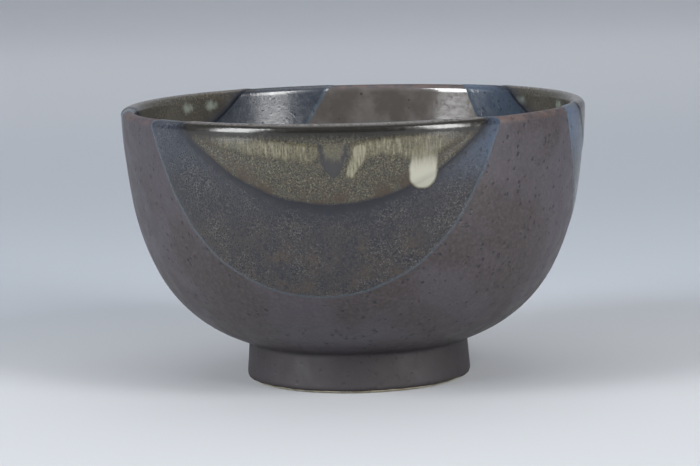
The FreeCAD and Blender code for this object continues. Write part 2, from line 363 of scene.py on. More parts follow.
def hand_thrown(mesh):
    """Leave the slight unevenness of a hand-thrown wall on every piece alike."""
    flat = np.empty(len(mesh.vertices) * 3)
    mesh.vertices.foreach_get("co", flat)
    points = flat.reshape(-1, 3)
    radius = np.maximum(np.hypot(points[:, 0], points[:, 1]), 1e-6)
    azimuth = np.arctan2(points[:, 1], points[:, 0])
    share = eased(points[:, 2], 10.0 * MM, 60.0 * MM)
    push = OUT_OF_ROUND * np.sin(2.0 * azimuth + 0.7) + OUT_OF_ROUND / 2 * np.sin(3.0 * azimuth)
    points[:, :2] *= (1.0 + push * share / radius)[:, None]
    mesh.vertices.foreach_set("co", flat)
    mesh.update()


def finished_mesh(name, points, faces, material, fields=None):
    """A smooth mesh object at the origin, with a number per point for each field."""
    mesh = bpy.data.meshes.new(name)
    mesh.from_pydata(points.tolist(), [], faces)
    mesh.shade_smooth()
    for field, values in (fields or {}).items():
        layer = mesh.attributes.new(field, "FLOAT", "POINT")
        layer.data.foreach_set("value", np.asarray(values, dtype=np.float32))
    mesh.materials.append(material)
    hand_thrown(mesh)
    piece = bpy.data.objects.new(name, mesh)
    bpy.context.collection.objects.link(piece)
    return piece


class Tree:
    """A Geometry Nodes tree being built, with an input by name for each of its sizes."""

    def __init__(self, name):
        self.group = bpy.data.node_groups.new(name, "GeometryNodeTree")
        self.start = self.group.nodes.new("NodeGroupInput")
        self.keys = {}
        self.shape = self.wanted("Geometry", "Geometry")
        self.group.interface.new_socket(
            "Geometry", in_out="OUTPUT", socket_type="NodeSocketGeometry")

    def wanted(self, name, kind):
        """One of the tree's named inputs."""
        socket = self.group.interface.new_socket(
            name, in_out="INPUT", socket_type="NodeSocket" + kind)
        self.keys[name] = socket.identifier
        return self.start.outputs[name]

    def add(self, kind, wires, **settings):
        """A node with its inputs joined or filled by name or number; gives its outputs."""
        node = self.group.nodes.new(kind)
        for setting, value in settings.items():
            setattr(node, setting, value)
        for key, value in wires.items():
            if isinstance(value, bpy.types.NodeSocket):
                self.group.links.new(value, node.inputs[key])
            else:
                node.inputs[key].default_value = value
        return node.outputs

    def maths(self, operation, first, second=0.0):
        return self.add("ShaderNodeMath", {0: first, 1: second}, operation=operation)[0]

    def vectors(self, operation, first, second):
        return self.add("ShaderNodeVectorMath", {0: first, 1: second}, operation=operation)

    def end(self, shape, material):
        smooth = self.add("GeometryNodeSetShadeSmooth", {"Geometry": shape})[0]
        real = self.add("GeometryNodeRealizeInstances", {"Geometry": smooth})[0]
        dressed = self.add("GeometryNodeSetMaterial", {"Geometry": real, "Material": material})[0]
        result = self.group.nodes.new("NodeGroupOutput")
        self.group.links.new(dressed, result.inputs["Geometry"])


def grown(name, tree, start, values):
    """The plain mesh that a tree makes from a starting shape, with its inputs by name."""
    seed = bpy.data.objects.new(name + "_start", start)
    bpy.context.collection.objects.link(seed)
    modifier = seed.modifiers.new(name, "NODES")
    modifier.node_group = tree.group
    for label, value in values.items():
        modifier[tree.keys[label]] = value
    depsgraph = bpy.context.evaluated_depsgraph_get()
    mesh = bpy.data.meshes.new_from_object(seed.evaluated_get(depsgraph))
    bpy.data.objects.remove(seed)
    mesh.name = name
    piece = bpy.data.objects.new(name, mesh)
    bpy.context.collection.objects.link(piece)
    return piece


def wheel():
    """The potter's wheel: turns a half section about the axis, and wavers a wiped edge."""
    tree = Tree("potters_wheel")
    spokes = tree.wanted("Spokes", "Int")
    reach, edge, waver, length, seed = (
        tree.wanted(name, "Float") for name in (
            "Wheel Radius", "Wiped Edge Height", "Waver Depth", "Waver Length", "Seed"))
    material = tree.wanted("Material", "Material")
    circle = tree.add("GeometryNodeCurvePrimitiveCircle",
                      {"Resolution": spokes, "Radius": reach})[0]
    skin = tree.add("GeometryNodeCurveToMesh", {"Curve": circle, "Profile Curve": tree.shape})[0]
    whole = tree.add("GeometryNodeMergeByDistance", {"Geometry": skin, "Distance": 1e-6})[0]
    place = tree.add("GeometryNodeInputPosition", {})[0]
    height = tree.add("ShaderNodeSeparateXYZ", {0: place})["Z"]
    fade = tree.add("ShaderNodeMapRange", {
        "Value": height, "From Min": edge, "From Max": tree.maths("ADD", edge, WIPED_FADE),
        "To Min": 1.0, "To Max": 0.0}, interpolation_type="SMOOTHSTEP")[0]
    ring = tree.vectors("MULTIPLY", place, (1.0, 1.0, 0.0))[0]
    noise = tree.add("ShaderNodeTexNoise", {
        "Vector": ring, "W": seed, "Scale": tree.maths("DIVIDE", 1.0, length),
        "Detail": 2.0}, noise_dimensions="4D")[0]
    rise = tree.maths("MULTIPLY", tree.maths("SUBTRACT", noise, 0.5), waver)
    rise = tree.maths("MULTIPLY", rise, fade)
    offset = tree.add("ShaderNodeCombineXYZ", {"Z": rise})[0]
    moved = tree.add("GeometryNodeSetPosition", {"Geometry": whole, "Offset": offset})[0]
    tree.end(moved, material)
    return tree


def turned_piece(name, line, spokes, material, closed=True, waver=0.0):
    """A skin turned about the axis from a line of (radius, height) points."""
    curve = bpy.data.curves.new(name, "CURVE")
    curve.dimensions = "3D"
    spline = curve.splines.new("POLY")
    spline.points.add(len(line) - 1)
    for point, (radius, height) in zip(spline.points, line):
        point.co = (radius - RIM_RADIUS, -height, 0.0, 1.0)
    spline.use_cyclic_u = closed
    return grown(name, WHEEL, curve, {
        "Spokes": spokes, "Wheel Radius": RIM_RADIUS, "Wiped Edge Height": BARE_EDGE,
        "Waver Depth": waver, "Waver Length": 7.0 * MM, "Seed": 5.0, "Material": material})


def speck_scatter():
    """Iron specks: flat blisters scattered over the outside of a coat, half sunk in it."""
    tree = Tree("iron_speck_scatter")
    spacing, least, most, flatness, raggedness, lowest, highest = (
        tree.wanted(name, "Float") for name in (
            "Spacing", "Smallest Radius", "Largest Radius", "Flatness", "Raggedness",
            "Lowest", "Highest"))
    middle = tree.wanted("Bowl Middle", "Vector")
    seed = tree.wanted("Seed", "Int")
    material = tree.wanted("Material", "Material")
    place = tree.add("GeometryNodeInputPosition", {})[0]
    facing = tree.add("GeometryNodeInputNormal", {})[0]
    outward = tree.vectors("DOT_PRODUCT", tree.vectors("SUBTRACT", place, middle)[0],
                           facing)["Value"]
    height = tree.add("ShaderNodeSeparateXYZ", {0: place})["Z"]
    chosen = tree.maths("GREATER_THAN", outward, 0.0)
    chosen = tree.maths("MULTIPLY", chosen, tree.maths("GREATER_THAN", height, lowest))
    chosen = tree.maths("MULTIPLY", chosen, tree.maths("LESS_THAN", height, highest))
    spots = tree.add("GeometryNodeDistributePointsOnFaces", {
        "Mesh": tree.shape, "Selection": chosen, "Distance Min": spacing,
        "Density Max": 9.0e5, "Seed": seed}, distribute_method="POISSON")
    chance = tree.add("FunctionNodeRandomValue", {"Seed": seed})[1]
    spread = tree.maths("SUBTRACT", most, least)
    radius = tree.maths("MULTIPLY_ADD", tree.maths("POWER", chance, 2.2), spread)
    tree.group.links.new(least, radius.node.inputs[2])
    other = tree.add("FunctionNodeRandomValue", {
        2: 0.7, 3: 1.3, "Seed": tree.maths("ADD", seed, 1.0)})[1]
    scale = tree.add("ShaderNodeCombineXYZ", {
        "X": tree.maths("MULTIPLY", radius, other), "Y": radius,
        "Z": tree.maths("MULTIPLY", radius, flatness)})[0]
    blister = tree.add("GeometryNodeMeshUVSphere", {"Segments": 8, "Rings": 4, "Radius": 1.0})[0]
    many = tree.add("GeometryNodeInstanceOnPoints", {
        "Points": spots["Points"], "Instance": blister, "Rotation": spots["Rotation"],
        "Scale": scale})[0]
    real = tree.add("GeometryNodeRealizeInstances", {"Geometry": many})[0]
    noise = tree.add("ShaderNodeTexNoise", {"Vector": place, "Scale": 2.2 / MM,
                                            "Detail": 1.0})["Color"]
    pull = tree.vectors("SUBTRACT", noise, (0.5, 0.5, 0.5))[0]
    pull = tree.add("ShaderNodeVectorMath", {0: pull, "Scale": raggedness},
                    operation="SCALE")[0]
    ragged = tree.add("GeometryNodeSetPosition", {"Geometry": real, "Offset": pull})[0]
    tree.end(ragged, material)
    return tree


def specks_on(name, coat, material, spacing, radii, heights, seed):
    """The iron specks on a coat, as one piece of their own."""
    return grown(name, SPECK_SCATTER, coat.data.copy(), {
        "Spacing": spacing, "Smallest Radius": radii[0], "Largest Radius": radii[1],
        "Flatness": 0.05, "Raggedness": 0.14 * MM, "Lowest": heights[0],
        "Highest": heights[1], "Bowl Middle": (0.0, 0.0, BOWL_HEIGHT), "Seed": seed,
        "Material": material})


def shell_faces(kept):
    """Faces of a closed shell over a grid of points: its top, its back and its sides.

    The back's points are numbered after all of the top's.
    """
    cells = kept[:-1, :-1] | kept[1:, :-1] | kept[1:, 1:] | kept[:-1, 1:]
    number = np.arange(kept.size).reshape(kept.shape)
    quads = np.stack([number[:-1, :-1], number[:-1, 1:], number[1:, 1:], number[1:, :-1]], -1)
    quads = quads[cells]
    behind = kept.size
    edges = np.concatenate([quads[:, [i, (i + 1) % 4]] for i in range(4)])
    ends = {(int(a), int(b)) for a, b in edges}
    rim = sorted((a, b) for a, b in ends if (b, a) not in ends)
    sides = np.array([[b, a, a + behind, b + behind] for a, b in rim])
    return np.concatenate([quads, quads[:, ::-1] + behind, sides])


def coat_sheet(name, azimuths, places, height_at, material, under, keep):
    """A coat as a closed shell, kept where its top is higher than a depth under the skin.

    height_at gives the top's height over the base glaze and the fields to store.
    """
    azimuth, place = np.meshgrid(azimuths, places, indexing="ij")
    skin, facing = WALL.skin(azimuth, place)
    height, fields = height_at(skin, facing, place)
    top = skin + facing * height[..., None]
    bottom = skin + facing * np.minimum(height - 0.05 * MM, under)[..., None]
    used, faces = np.unique(shell_faces(height > -keep), return_inverse=True)
    faces = faces.reshape(-1, 4)
    points = np.concatenate([top.reshape(-1, 3), bottom.reshape(-1, 3)])[used]
    stored = {}
    for field, values in fields.items():
        stored[field] = np.concatenate([values.ravel(), values.ravel()])[used]
    return finished_mesh(name, points, faces.tolist(), material, stored)


# ---------------------------------------------------------------- the pieces' shapes

def spaced(start, finish, step):
    count = max(int(abs(finish - start) / step), 1)
    return np.linspace(start, finish, count + 1)


def spaced_through(start, *legs):
    """Places from a start through the end of each leg, which has a spacing of its own."""
    places = [np.array([start])]
    for finish, step in legs:
        places.append(spaced(start, finish, step)[1:])
        start = finish
    return np.concatenate(places)


def spread_about(azimuth, reach, count):
    """Even turns about the axis, as far as reach to either side of an azimuth in degrees."""
    return math.radians(azimuth) + np.radians(np.linspace(-reach, reach, count))


def line_at(places, lift):
    radius, height, out, up = WALL.at(places)
    return np.stack([radius + out * lift, height + up * lift], 1)


def point_at(place):
    return line_at(np.array([place]), 0.0)[0]


def foot_side(radius, low, junction, inward):
    """The foot's side from its bare edge up to the bowl, rounded under and waisted."""
    heights = spaced(low, junction, 0.45 * MM)
    share = (heights - FOOT_EDGE_RADIUS) / (BOWL_HEIGHT / 2.0)
    lean = FOOT_LEAN * (heights - FOOT_EDGE_RADIUS) + FOOT_WAIST * share * (1.0 - share)
    under = np.maximum(FOOT_EDGE_RADIUS - heights, 0.0)
    rounding = FOOT_EDGE_RADIUS - np.sqrt(FOOT_EDGE_RADIUS ** 2 - under ** 2)
    side = np.where(heights > FOOT_EDGE_RADIUS, lean, rounding)
    return np.stack([radius - inward * side, heights], 1)


def corner(before, sharp, after):
    """A small fillet where pooled glaze softens an inside corner."""
    steps = np.linspace(0.0, 1.0, 6)[:, None]
    return ((1 - steps) ** 2) * before + 2 * steps * (1 - steps) * sharp + steps ** 2 * after


def make_outside_glaze(material):
    """The outer coat, from the wiped foot up the wall and over the lip."""
    glazed_foot = FOOT_RADIUS + BASE_COAT
    drawn_in = 0.6 * MM             # by the foot's lean, where it meets the bowl
    junction = point_at(WALL.outside_at_radius(glazed_foot - drawn_in))
    side = foot_side(glazed_foot, BARE_EDGE, junction[1] - POOL, 1.0)
    haunch = WALL.outside_at_radius(junction[0] + POOL)
    near_lip, end = -4.0 * MM, 3.2 * MM
    wall_places = spaced_through(haunch, (near_lip, 0.8 * MM), (end, 0.3 * MM))[1:]
    tuck = eased(wall_places, 1.8 * MM, end) * 0.2 * MM
    top = np.concatenate([side, corner(side[-1], junction, point_at(haunch))[1:],
                          line_at(wall_places, -tuck)])
    back_places = spaced_through(end, (near_lip, 0.8 * MM), (haunch, 5.0 * MM))
    back_side = foot_side(glazed_foot - BACK_DEPTH, BARE_EDGE, junction[1], 1.0)[::-6]
    back = np.concatenate([line_at(back_places, -BACK_DEPTH), back_side])
    piece = turned_piece("outside_glaze_coat", np.concatenate([top, back]), 480, material,
                         waver=WIPED_WAVER)
    hand_thrown(piece.data)
    return piece


def make_inside_glaze(material):
    """The liner, tucked under the outer coat just inside the lip."""
    start = 0.9 * MM
    places = spaced_through(start, (4.0 * MM, 0.4 * MM), (WALL.middle, 0.85 * MM))
    top = line_at(places, 0.0)
    top[-1, 0] = 0.0
    back = line_at(spaced(WALL.middle, start, 5.0 * MM), -BACK_DEPTH)
    back[0, 0] = 0.0
    piece = turned_piece("inside_glaze_coat", np.concatenate([back, top]), 480, material,
                         closed=False)
    hand_thrown(piece.data)
    return piece


def make_recess_glaze(material):
    """The glaze inside the foot ring and over the underside."""
    inner = FOOT_INNER_RADIUS
    drawn_in = 0.3 * MM             # by the lean, as on the foot's outside
    junction = point_at(WALL.outside_at_radius(inner + drawn_in))
    side = foot_side(inner, BARE_EDGE, junction[1] - POOL, -1.0)
    under = WALL.outside_at_radius(junction[0] - POOL)
    floor = line_at(spaced(under, WALL.bottom, 0.8 * MM)[1:], 0.0)
    floor[-1, 0] = 0.0
    top = np.concatenate([side, corner(side[-1], junction, point_at(under))[1:], floor])
    back = line_at(spaced(WALL.bottom, under, 4.0 * MM), -BACK_DEPTH)
    back[0, 0] = 0.0
    back_side = foot_side(inner + BACK_DEPTH, BARE_EDGE, junction[1], -1.0)[::-6]
    line = np.concatenate([back, back_side, top])[::-1]
    return turned_piece("foot_recess_glaze_coat", line, 240, material, closed=False,
                        waver=WIPED_WAVER)


def make_foot_clay(material):
    """The bare ring: rounded edges and a slightly worn resting face."""
    outer = FOOT_RADIUS
    inner = FOOT_INNER_RADIUS + BASE_COAT
    outer_top, inner_top = 9.0 * MM, 7.6 * MM
    outer_side = foot_side(outer, 0.0, outer_top, 1.0)
    inner_side = foot_side(inner, 0.0, inner_top, -1.0)
    turn = np.radians(np.linspace(0.0, 90.0, 9))
    edge = FOOT_EDGE_RADIUS
    outer_turn = np.stack([outer - edge + edge * np.sin(turn), edge - edge * np.cos(turn)], 1)
    inner_turn = np.stack([inner + edge - edge * np.sin(turn), edge - edge * np.cos(turn)], 1)
    outer_side = outer_side[outer_side[:, 1] > edge]
    inner_side = inner_side[inner_side[:, 1] > edge]
    face = np.stack([np.linspace(inner + edge, outer - edge, 6)[1:-1], np.zeros(4)], 1)
    line = np.concatenate([face, outer_turn, outer_side, inner_side[::-1], inner_turn[::-1]])
    return turned_piece("foot_ring_clay", line, 360, material)


def make_blue_dip(side, material):
    def height_at(skin, facing, place):
        height, inside = blue_height(skin, facing, side)
        _, ochre = ochre_height(skin, facing, side)
        return np.maximum(height, -SUNK), {
            "edge": inside / MM, "under_ochre": ochre / MM, "from_lip": place / MM}

    azimuths = spread_about(BLUE_DIPS[side][0], 50.0, 230)
    places = spaced_through(WALL.outside_at_height(26.0 * MM), (-3.0 * MM, 0.46 * MM),
                            (3.0 * MM, 0.3 * MM), (36.0 * MM, 0.5 * MM))
    return coat_sheet("blue_dip_coat_" + side, azimuths, places, height_at, material,
                      under=-0.15 * MM, keep=0.12 * MM)


def make_ochre_dip(side, material):
    def height_at(skin, facing, place):
        blue, _ = blue_height(skin, facing, side)
        height, inside = ochre_height(skin, facing, side)
        dab = dabs(skin, side) * (place > 0.0)
        lift = blue + np.maximum(height, -SUNK) + DAB_LIFT * dab * (inside > 0.0)
        return lift, {"edge": inside / MM, "from_lip": place / MM, "dab": dab}

    azimuths = spread_about(OCHRE_DIPS[side][0], 42.0, 240)
    places = spaced_through(WALL.outside_at_height(49.0 * MM), (-3.0 * MM, 0.36 * MM),
                            (3.0 * MM, 0.25 * MM), (22.0 * MM, 0.4 * MM))
    return coat_sheet("ochre_dip_coat_" + side, azimuths, places, height_at, material,
                      under=-0.05 * MM, keep=-BLUE_LIFT + 0.12 * MM)


def make_cream_runs(side, material):
    def height_at(skin, facing, place):
        blue, _ = blue_height(skin, facing, side)
        ochre, ochre_inside = ochre_height(skin, facing, side)
        milky, drip, tongue, down = cream_fields(skin, side)
        cream = cream_height(milky, drip, tongue, down)
        return blue + np.maximum(ochre, 0.0) + cream, {
            "milky": milky, "drip": drip, "tongue": tongue,
            "under_edge": ochre_inside / MM, "from_lip": place / MM}

    azimuths = spread_about(OCHRE_DIPS[side][0], 39.0, 300)
    places = spaced(-19.0 * MM, -1.2 * MM, 0.25 * MM)
    return coat_sheet("cream_runs_coat_" + side, azimuths, places, height_at, material,
                      under=0.02 * MM, keep=-BLUE_LIFT - OCHRE_LIFT + 0.06 * MM)


# ---------------------------------------------------------------- materials

class Finish:
    """A material being mixed: nodes are added and joined by short calls."""

    def __init__(self, name, gloss, roughness):
        self.material = bpy.data.materials.new(name)
        self.material.use_nodes = True
        self.tree = self.material.node_tree
        self.shader = self.tree.nodes["Principled BSDF"]
        self.shader.inputs["Specular IOR Level"].default_value = gloss
        self.shader.inputs["Roughness"].default_value = roughness
        where = self.tree.nodes.new("ShaderNodeTexCoord")
        self.place = self.stretched(where.outputs["Object"], (1.0, 1.0, 1.0))

    def stretched(self, vector, stretch):
        """The place in millimetres, stretched so that marks run long or lie flat."""
        mapping = self.tree.nodes.new("ShaderNodeMapping")
        mapping.inputs["Scale"].default_value = [1.0 / MM * factor for factor in stretch]
        self.tree.links.new(vector, mapping.inputs["Vector"])
        return mapping.outputs["Vector"]

    def put(self, socket, value):
        if isinstance(value, bpy.types.NodeSocket):
            self.tree.links.new(value, socket)
        elif value is not None:
            socket.default_value = value

    def noise(self, size, detail=2.0, rough=0.5, place=None):
        """Cloudy marks of a size in millimetres."""
        node = self.tree.nodes.new("ShaderNodeTexNoise")
        node.inputs["Scale"].default_value = 1.0 / size
        node.inputs["Detail"].default_value = detail
        node.inputs["Roughness"].default_value = rough
        self.put(node.inputs["Vector"], place or self.place)
        return node.outputs["Fac"]

    def cells(self, size, place):
        """Distance to the nearest of many scattered spots, and a random colour for each."""
        node = self.tree.nodes.new("ShaderNodeTexVoronoi")
        node.inputs["Scale"].default_value = 1.0 / size
        self.put(node.inputs["Vector"], place)
        return node.outputs["Distance"], node.outputs["Color"]

    def between(self, value, low, high, at_low=0.0, at_high=1.0):
        """A value eased from one number to another as it goes from low to high."""
        node = self.tree.nodes.new("ShaderNodeMapRange")
        node.interpolation_type = "SMOOTHSTEP"
        node.inputs["From Min"].default_value = low
        node.inputs["From Max"].default_value = high
        node.inputs["To Min"].default_value = at_low
        node.inputs["To Max"].default_value = at_high
        self.put(node.inputs["Value"], value)
        return node.outputs["Result"]

    def maths(self, operation, first, second=None):
        node = self.tree.nodes.new("ShaderNodeMath")
        node.operation = operation
        self.put(node.inputs[0], first)
        self.put(node.inputs[1], second)
        return node.outputs[0]

    def over(self, share, below, above):
        """One colour laid over another, as much as the share says."""
        node = self.tree.nodes.new("ShaderNodeMix")
        node.data_type = "RGBA"
        self.put(node.inputs[0], share)
        self.put(node.inputs[6], below)
        self.put(node.inputs[7], above)
        return node.outputs[2]

    def field(self, name):
        """A number stored on the piece's points."""
        node = self.tree.nodes.new("ShaderNodeAttribute")
        node.attribute_name = name
        return node.outputs["Fac"]

    def along(self, axis):
        """Where a place is along X, Y or Z, in millimetres."""
        node = self.tree.nodes.new("ShaderNodeSeparateXYZ")
        self.put(node.inputs[0], self.place)
        return node.outputs[axis]

    def height(self):
        return self.along("Z")

    def times(self, first, second):
        return self.maths("MULTIPLY", first, second)

    def plus(self, first, second):
        return self.maths("ADD", first, second)

    def less(self, first, second):
        return self.maths("SUBTRACT", first, second)

    def wandered(self, size, reach):
        """The place pushed about by noise, so that marks on it come out ragged."""
        noise = self.tree.nodes.new("ShaderNodeTexNoise")
        noise.inputs["Scale"].default_value = 1.0 / size
        noise.inputs["Detail"].default_value = 2.0
        self.put(noise.inputs["Vector"], self.place)
        push = self.tree.nodes.new("ShaderNodeVectorMath")
        push.operation = "MULTIPLY_ADD"
        self.put(push.inputs[0], noise.outputs["Color"])
        push.inputs[1].default_value = (reach, reach, reach)
        self.put(push.inputs[2], self.place)
        return push.outputs[0]

    def relief(self, height, depth):
        """Bumps as deep as a depth in millimetres."""
        node = self.tree.nodes.new("ShaderNodeBump")
        node.inputs["Distance"].default_value = depth * MM
        node.inputs["Strength"].default_value = 1.0
        self.put(node.inputs["Height"], height)
        before = self.shader.inputs["Normal"]
        if before.is_linked:
            self.tree.links.new(before.links[0].from_socket, node.inputs["Normal"])
        self.tree.links.new(node.outputs["Normal"], before)

    def colour(self, value):
        self.put(self.shader.inputs["Base Color"], value)

    def roughness(self, value):
        self.put(self.shader.inputs["Roughness"], value)


def tone(red, green, blue):
    """A colour given as the eye reads it, 0 to 255, turned into light."""
    share = [channel / 255.0 for channel in (red, green, blue)]
    linear = [c / 12.92 if c <= 0.04045 else ((c + 0.055) / 1.055) ** 2.4 for c in share]
    return (*linear, 1.0)


GUNMETAL = tone(54, 50, 56)
IRON_BROWN = tone(44, 38, 38)
GREY_BLOOM = tone(74, 68, 71)
DARK_GRAIN = tone(42, 38, 42)
BLUE_IRON = tone(28, 30, 42)
SPECK = tone(26, 24, 30)
LIP_RUST = tone(88, 70, 64)
SLATE = tone(12, 16, 24)
ASH = tone(51, 49, 48)
PALE_ASH = tone(104, 100, 100)
VIOLET = tone(33, 33, 38)
INNER_SLATE = tone(40, 44, 52)
INNER_BLUE = tone(50, 57, 66)
HALO = tone(10, 13, 20)
NAVY = tone(20, 24, 34)
RUST = tone(62, 52, 43)
TEAL = tone(70, 82, 92)
PAINTED_SKY_SHEEN = tone(64, 77, 96)
OLIVE = tone(70, 67, 56)
OLIVE_DARK = tone(32, 32, 30)
INNER_OLIVE = tone(62, 60, 56)
TAN = tone(98, 91, 74)
AMBER = tone(50, 40, 31)
SOOT = tone(20, 19, 17)
LIP_ASH = tone(98, 94, 92)
CREAM = tone(92, 88, 70)
CREAM_SHADE = tone(72, 68, 53)
PALE_CREAM = tone(126, 124, 108)
OLD_CREAM = tone(80, 78, 66)
MILK = tone(144, 143, 131)
TONGUE_GREY = tone(40, 40, 44)
CELADON = tone(116, 124, 116)
FOOT_BROWN = tone(30, 25, 28)
LINER = tone(68, 64, 61)
LINER_HAZE = tone(86, 83, 81)
CLAY = tone(196, 190, 170)
CLAY_DARK = tone(160, 148, 126)
GRIT = tone(90, 76, 60)
PAPER = tone(178, 181, 185)
PAPER_BEHIND = tone(168, 174, 182)
PAPER_FAR_PAINTED_LIGHT = tone(228, 231, 236)


def orange_peel(finish, depth):
    """The soft dimpling of a melted coat."""
    finish.relief(finish.noise(2.2, 2.0), depth * 1.6)
    finish.relief(finish.noise(0.7, 1.0), depth * 0.5)


def specks(finish, spacing, size, crowd):
    """Scattered ragged specks: one in crowd of the spots is drawn, with soft edges."""
    distance, random = finish.cells(spacing, finish.wandered(0.625, 0.5))
    parts = finish.tree.nodes.new("ShaderNodeSeparateColor")
    finish.put(parts.inputs[0], random)
    chosen = finish.maths("LESS_THAN", parts.outputs["Red"], crowd)
    reach = finish.times(parts.outputs["Green"], size / spacing)
    soft = finish.between(finish.less(reach, distance), -0.05, 0.15)
    return finish.times(soft, chosen)


def satin_glaze():
    """The outer glaze: gunmetal brown, clouded, with fine dark specks and pits."""
    finish = Finish("satin_gunmetal_glaze", 0.5, 0.45)
    clouds = finish.between(finish.noise(22.0, 3.0, 0.55), 0.42, 0.62)
    colour = finish.over(clouds, GUNMETAL, IRON_BROWN)
    mottle = finish.between(finish.noise(0.9, 4.0, 0.6), 0.35, 0.7, 0.0, 0.45)
    colour = finish.over(mottle, colour, GREY_BLOOM)
    grain = finish.between(finish.noise(0.5, 2.0), 0.5, 0.7, 0.0, 0.4)
    colour = finish.over(grain, colour, DARK_GRAIN)
    fine = specks(finish, 1.35, 0.62, 0.5)
    colour = finish.over(finish.times(fine, 0.9), colour, SPECK)
    low = finish.between(finish.height(), 12.5, 10.0)
    colour = finish.over(finish.times(low, 0.85), colour, FOOT_BROWN)
    lip = finish.between(finish.height(), BOWL_HEIGHT / MM - 2.2, BOWL_HEIGHT / MM - 0.6)
    patchy = finish.between(finish.noise(3.0, 3.0), 0.4, 0.65, 0.05, 0.6)
    colour = finish.over(finish.times(lip, patchy), colour, LIP_RUST)
    finish.colour(colour)
    rough = finish.between(finish.noise(5.0, 3.0), 0.3, 0.7, 0.40, 0.52)
    finish.roughness(finish.plus(rough, finish.times(low, 0.2)))
    orange_peel(finish, 0.03)
    finish.relief(finish.less(1.0, fine), 0.06)
    return finish.material


def liner_glaze():
    """The inside: glossy dark brown with a faint bloom."""
    finish = Finish("glossy_brown_liner_glaze", 1.0, 0.16)
    bloom = finish.between(finish.noise(9.0, 4.0, 0.6), 0.4, 0.7)
    colour = finish.over(bloom, LINER, LINER_HAZE)
    fine = specks(finish, 2.2, 0.6, 0.35)
    colour = finish.over(finish.times(fine, 0.7), colour, SPECK)
    finish.colour(colour)
    finish.roughness(finish.between(finish.noise(1.5, 3.0), 0.3, 0.7, 0.12, 0.18))
    orange_peel(finish, 0.007)
    return finish.material


def iron_specks():
    """Where iron bled through the glaze: nearly black, a little glossy."""
    finish = Finish("iron_speck_glaze", 0.12, 0.6)
    patch = finish.between(finish.noise(2.5, 2.0), 0.35, 0.65)
    finish.colour(finish.over(patch, BLUE_IRON, DARK_GRAIN))
    finish.roughness(finish.between(finish.noise(3.0, 1.0), 0.3, 0.7, 0.42, 0.58))
    return finish.material


def slate_colour(finish):
    """Slate blue broken up by ash and navy, with a painted sky sheen near the lip, and rust low
    down.
    """
    fine = finish.between(finish.noise(0.62, 4.0, 0.7), 0.36, 0.64)
    colour = finish.over(fine, SLATE, ASH)
    pale = finish.between(finish.noise(0.42, 3.0, 0.6), 0.52, 0.68, 0.0, 0.55)
    colour = finish.over(pale, colour, PALE_ASH)
    clouds = finish.between(finish.noise(9.0, 3.0), 0.4, 0.62, 0.0, 0.65)
    colour = finish.over(clouds, colour, VIOLET)
    low = finish.between(finish.height(), 52.0, 38.0)
    patch = finish.between(finish.noise(6.0, 5.0, 0.65), 0.36, 0.7)
    rusty = finish.times(finish.times(low, patch), 0.6)
    colour = finish.over(rusty, colour, RUST)
    # Painted sheen: a paler sky-blue tint over the top of each dip, stronger towards +X, the right
    # softbox's side.
    top = BOWL_HEIGHT / MM
    aside = finish.between(finish.along("X"), -5.0, 38.0, 0.2, 0.85)
    high = finish.times(finish.between(finish.height(), top - 18.0, top - 3.0), aside)
    colour = finish.over(high, colour, PAINTED_SKY_SHEEN)
    spots = specks(finish, 1.15, 0.62, 0.55)
    colour = finish.over(finish.times(spots, 0.6), colour, NAVY)
    blurs = finish.between(finish.noise(0.9, 3.0, 0.6), 0.56, 0.68, 0.0, 0.55)
    colour = finish.over(blurs, colour, NAVY)
    return colour, spots


def blue_glaze():
    """The blue dip: darkest beside the ochre, with a thin teal edge, brighter inside."""
    finish = Finish("slate_blue_dip_glaze", 0.6, 0.3)
    colour, spots = slate_colour(finish)
    edge = finish.field("edge")
    inner = finish.between(finish.field("from_lip"), 0.5, 3.0)
    colour = finish.over(finish.times(inner, 0.5), colour, INNER_BLUE)
    uneven = finish.plus(edge, finish.times(finish.noise(1.6, 2.0), 0.6))
    line = finish.between(uneven, 1.35, 0.75, 0.0, 0.4)
    colour = finish.over(line, colour, TEAL)
    brim = finish.between(edge, 1.4, 0.5, 0.0, 0.4)
    colour = finish.over(finish.times(brim, inner), colour, TEAL)
    cloudy = finish.times(finish.noise(3.5, 4.0, 0.6), 2.6)
    gap = finish.plus(finish.field("under_ochre"), cloudy)
    outside = finish.less(1.0, finish.times(inner, 0.7))
    near = finish.between(gap, -0.9, 1.1, 0.0, 0.8)
    wide = finish.between(gap, -4.5, -0.4, 0.0, 0.4)
    colour = finish.over(finish.times(wide, outside), colour, NAVY)
    colour = finish.over(finish.times(near, outside), colour, HALO)
    finish.colour(colour)
    finish.roughness(finish.between(finish.noise(2.0, 3.0), 0.3, 0.7, 0.17, 0.27))
    orange_peel(finish, 0.012)
    finish.relief(finish.less(1.0, spots), 0.012)
    return finish.material


def streak_place(finish):
    """Places squeezed so that marks run long down the wall."""
    where = finish.tree.nodes.new("ShaderNodeTexCoord")
    return finish.stretched(where.outputs["Object"], (1.0, 1.0, 0.16))


def down_the_outside(finish):
    """How far down the outside a place is from the lip, in millimetres."""
    return finish.times(finish.field("from_lip"), -1.0)


